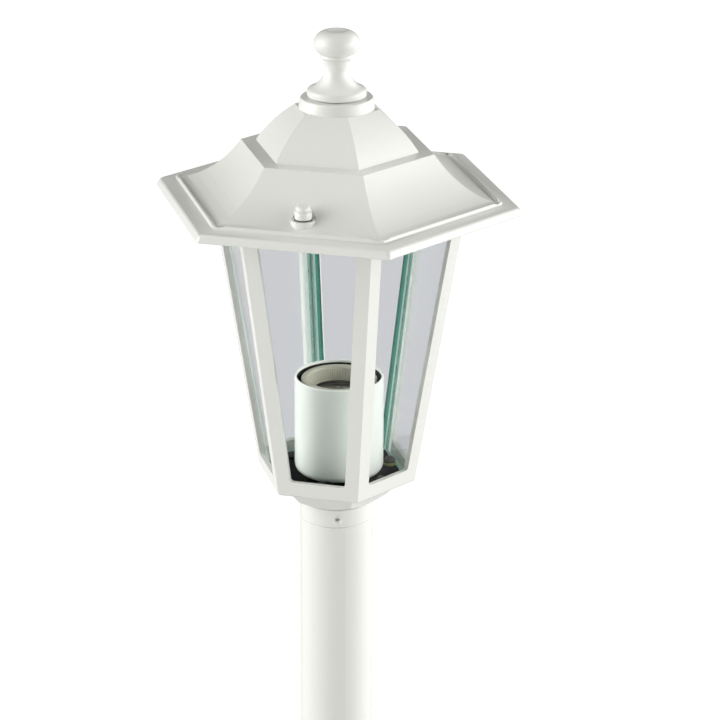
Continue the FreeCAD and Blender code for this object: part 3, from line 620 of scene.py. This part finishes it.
# ---- studio -------------------------------------------------------------------------
def camera():
    """Camera on a circle about the lantern, with the photograph's small turn and tilt."""
    aim = Vector((0, 0, RAIL_Z + AIM_HEIGHT))
    place = aim + DISTANCE * Vector((math.sin(AZIMUTH) * math.cos(ELEVATION),
                                     -math.cos(AZIMUTH) * math.cos(ELEVATION),
                                     math.sin(ELEVATION)))
    ahead = (aim - place).normalized()
    right = ahead.cross(Vector((0, 0, 1))).normalized()
    up = right.cross(ahead)
    base = Matrix((right, up, -ahead)).transposed()
    turn = Matrix.Rotation(-TURN_RIGHT, 3, "Y") @ Matrix.Rotation(TILT_UP, 3, "X")
    turn = turn @ Matrix.Rotation(ROLL, 3, "Z")
    data = bpy.data.cameras.new("camera")
    data.sensor_width = SENSOR
    data.lens = FOCAL_PIXELS / FRAME_PIXELS * SENSOR
    data.clip_end = CLIP_END
    shot = bpy.data.objects.new("camera", data)
    shot.matrix_world = Matrix.Translation(place) @ (base @ turn).to_4x4()
    scene.collection.objects.link(shot)
    scene.camera = shot
    return right


def reckon(tree, operation, *terms):
    """Math node on sockets and plain numbers; gives its result's socket."""
    node = add(tree, "ShaderNodeMath", operation=operation)
    for index, term in enumerate(terms):
        if isinstance(term, (int, float)):
            node.inputs[index].default_value = term
        else:
            tree.links.new(term, node.inputs[index])
    return node.outputs[0]


def floor():
    """Plain paper: white to the camera, greyer through the panes and as a light."""
    bm = bmesh.new()
    bmesh.ops.create_grid(bm, x_segments=1, y_segments=1, size=FLOOR_SIZE / 2)
    mesh = bpy.data.meshes.new("floor")
    bm.to_mesh(mesh)
    bm.free()
    ground = bpy.data.objects.new("floor", mesh)
    scene.collection.objects.link(ground)
    material = bpy.data.materials.new("floor_paper")
    material.use_nodes = True
    tree = material.node_tree
    link = tree.links.new
    shader = tree.nodes["Principled BSDF"]
    path = add(tree, "ShaderNodeLightPath")
    through_panes = reckon(
        tree, "MULTIPLY",
        reckon(tree, "GREATER_THAN", path.outputs["Transmission Depth"], THROUGH_A_PANE),
        reckon(tree, "LESS_THAN", path.outputs["Diffuse Depth"], IN_SIGHT))
    behind = add(tree, "ShaderNodeMix", data_type="RGBA")
    behind.inputs["A"].default_value = (*FLOOR_ON_PIECES, 1)
    behind.inputs["B"].default_value = (*FLOOR_THROUGH_GLASS, 1)
    paper = add(tree, "ShaderNodeMix", data_type="RGBA")
    paper.inputs["B"].default_value = (*FLOOR_SEEN, 1)
    link(through_panes, behind.inputs["Factor"])
    link(behind.outputs["Result"], paper.inputs["A"])
    link(path.outputs["Is Camera Ray"], paper.inputs["Factor"])
    link(paper.outputs["Result"], shader.inputs["Base Color"])
    link(paper.outputs["Result"], shader.inputs["Emission Color"])
    shader.inputs["Roughness"].default_value = 0.9
    shader.inputs["Specular IOR Level"].default_value = 0.1
    shader.inputs["Emission Strength"].default_value = FLOOR_GLOW
    mesh.materials.append(material)


def level_way(right, bearing):
    """Level direction at a bearing from the camera's side, with right as plus."""
    front = right.cross(Vector((0, 0, 1)))
    angle = math.radians(bearing)
    return right * math.sin(angle) + front * math.cos(angle)


def room_light(right):
    """White room with large soft sources at the two sides of the camera."""
    world = bpy.data.worlds.new("room")
    scene.world = world
    world.use_nodes = True
    tree = world.node_tree
    place = add(tree, "ShaderNodeTexCoord")
    total = 0
    for bearing, height, sharpness, strength in ROOM_LIGHTS:
        height = math.radians(height)
        towards = add(tree, "ShaderNodeVectorMath", operation="DOT_PRODUCT")
        towards.inputs[1].default_value = (level_way(right, bearing) * math.cos(height)
                                           + Vector((0, 0, math.sin(height))))
        tree.links.new(place.outputs["Generated"], towards.inputs[0])
        above = reckon(tree, "MAXIMUM", towards.outputs["Value"], 0)
        lobe = reckon(tree, "POWER", above, sharpness)
        total = reckon(tree, "MULTIPLY_ADD", lobe, strength, total)
    path = add(tree, "ShaderNodeLightPath")
    in_sight = reckon(tree, "LESS_THAN", path.outputs["Diffuse Depth"], IN_SIGHT)
    through = reckon(tree, "MULTIPLY", path.outputs["Is Transmission Ray"], in_sight)
    beyond = reckon(tree, "MULTIPLY", through, ROOM_THROUGH_GLASS)
    backdrop = reckon(tree, "MAXIMUM", path.outputs["Is Camera Ray"], beyond)
    background = tree.nodes["Background"]
    tree.links.new(reckon(tree, "MAXIMUM", total, backdrop), background.inputs["Strength"])
    background.inputs["Color"].default_value = (1, 1, 1, 1)


def light_inside(right):
    """Soft lights for the pieces behind the glass, which the panes and cage don't shade."""
    holder = [bpy.data.objects[name] for name in (
        "lampholder_sleeve_finished", "lampholder_body_finished", "lamp_mouth_ribs")]
    screws = [nodes[node] for node in (
        "earth_screw", "floor_screw_front", "floor_screw_left", "floor_screw_small")]
    shading = bpy.data.collections.new("shading_behind_glass")
    lit = bpy.data.collections.new("lit_behind_glass")
    for piece in holder + screws:
        shading.objects.link(piece)
        lit.objects.link(piece)
    lit.objects.link(nodes["lead_earth"])
    aim = Vector((0, 0, RAIL_Z + LAMPHOLDER_MIDDLE))
    for bearing, rise, power in INSIDE_LIGHTS:
        way = level_way(right, bearing) + Vector((0, 0, rise))
        place = Matrix.Translation(aim + way.normalized() * INSIDE_LIGHT_DISTANCE)
        data = bpy.data.lights.new("inside_light", "AREA")
        data.size = INSIDE_LIGHT_SIZE
        data.energy = power
        lamp = bpy.data.objects.new("inside_light", data)
        lamp.matrix_world = place @ way.to_track_quat("Z", "Y").to_matrix().to_4x4()
        lamp.visible_camera = False
        lamp.visible_transmission = False
        lamp.light_linking.receiver_collection = lit
        lamp.light_linking.blocker_collection = shading
        scene.collection.objects.link(lamp)


scene.view_settings.view_transform = "Standard"
right_of_camera = camera()
floor()
room_light(right_of_camera)
dress_post()
dress_head()
dress_roof()
light_inside(right_of_camera)
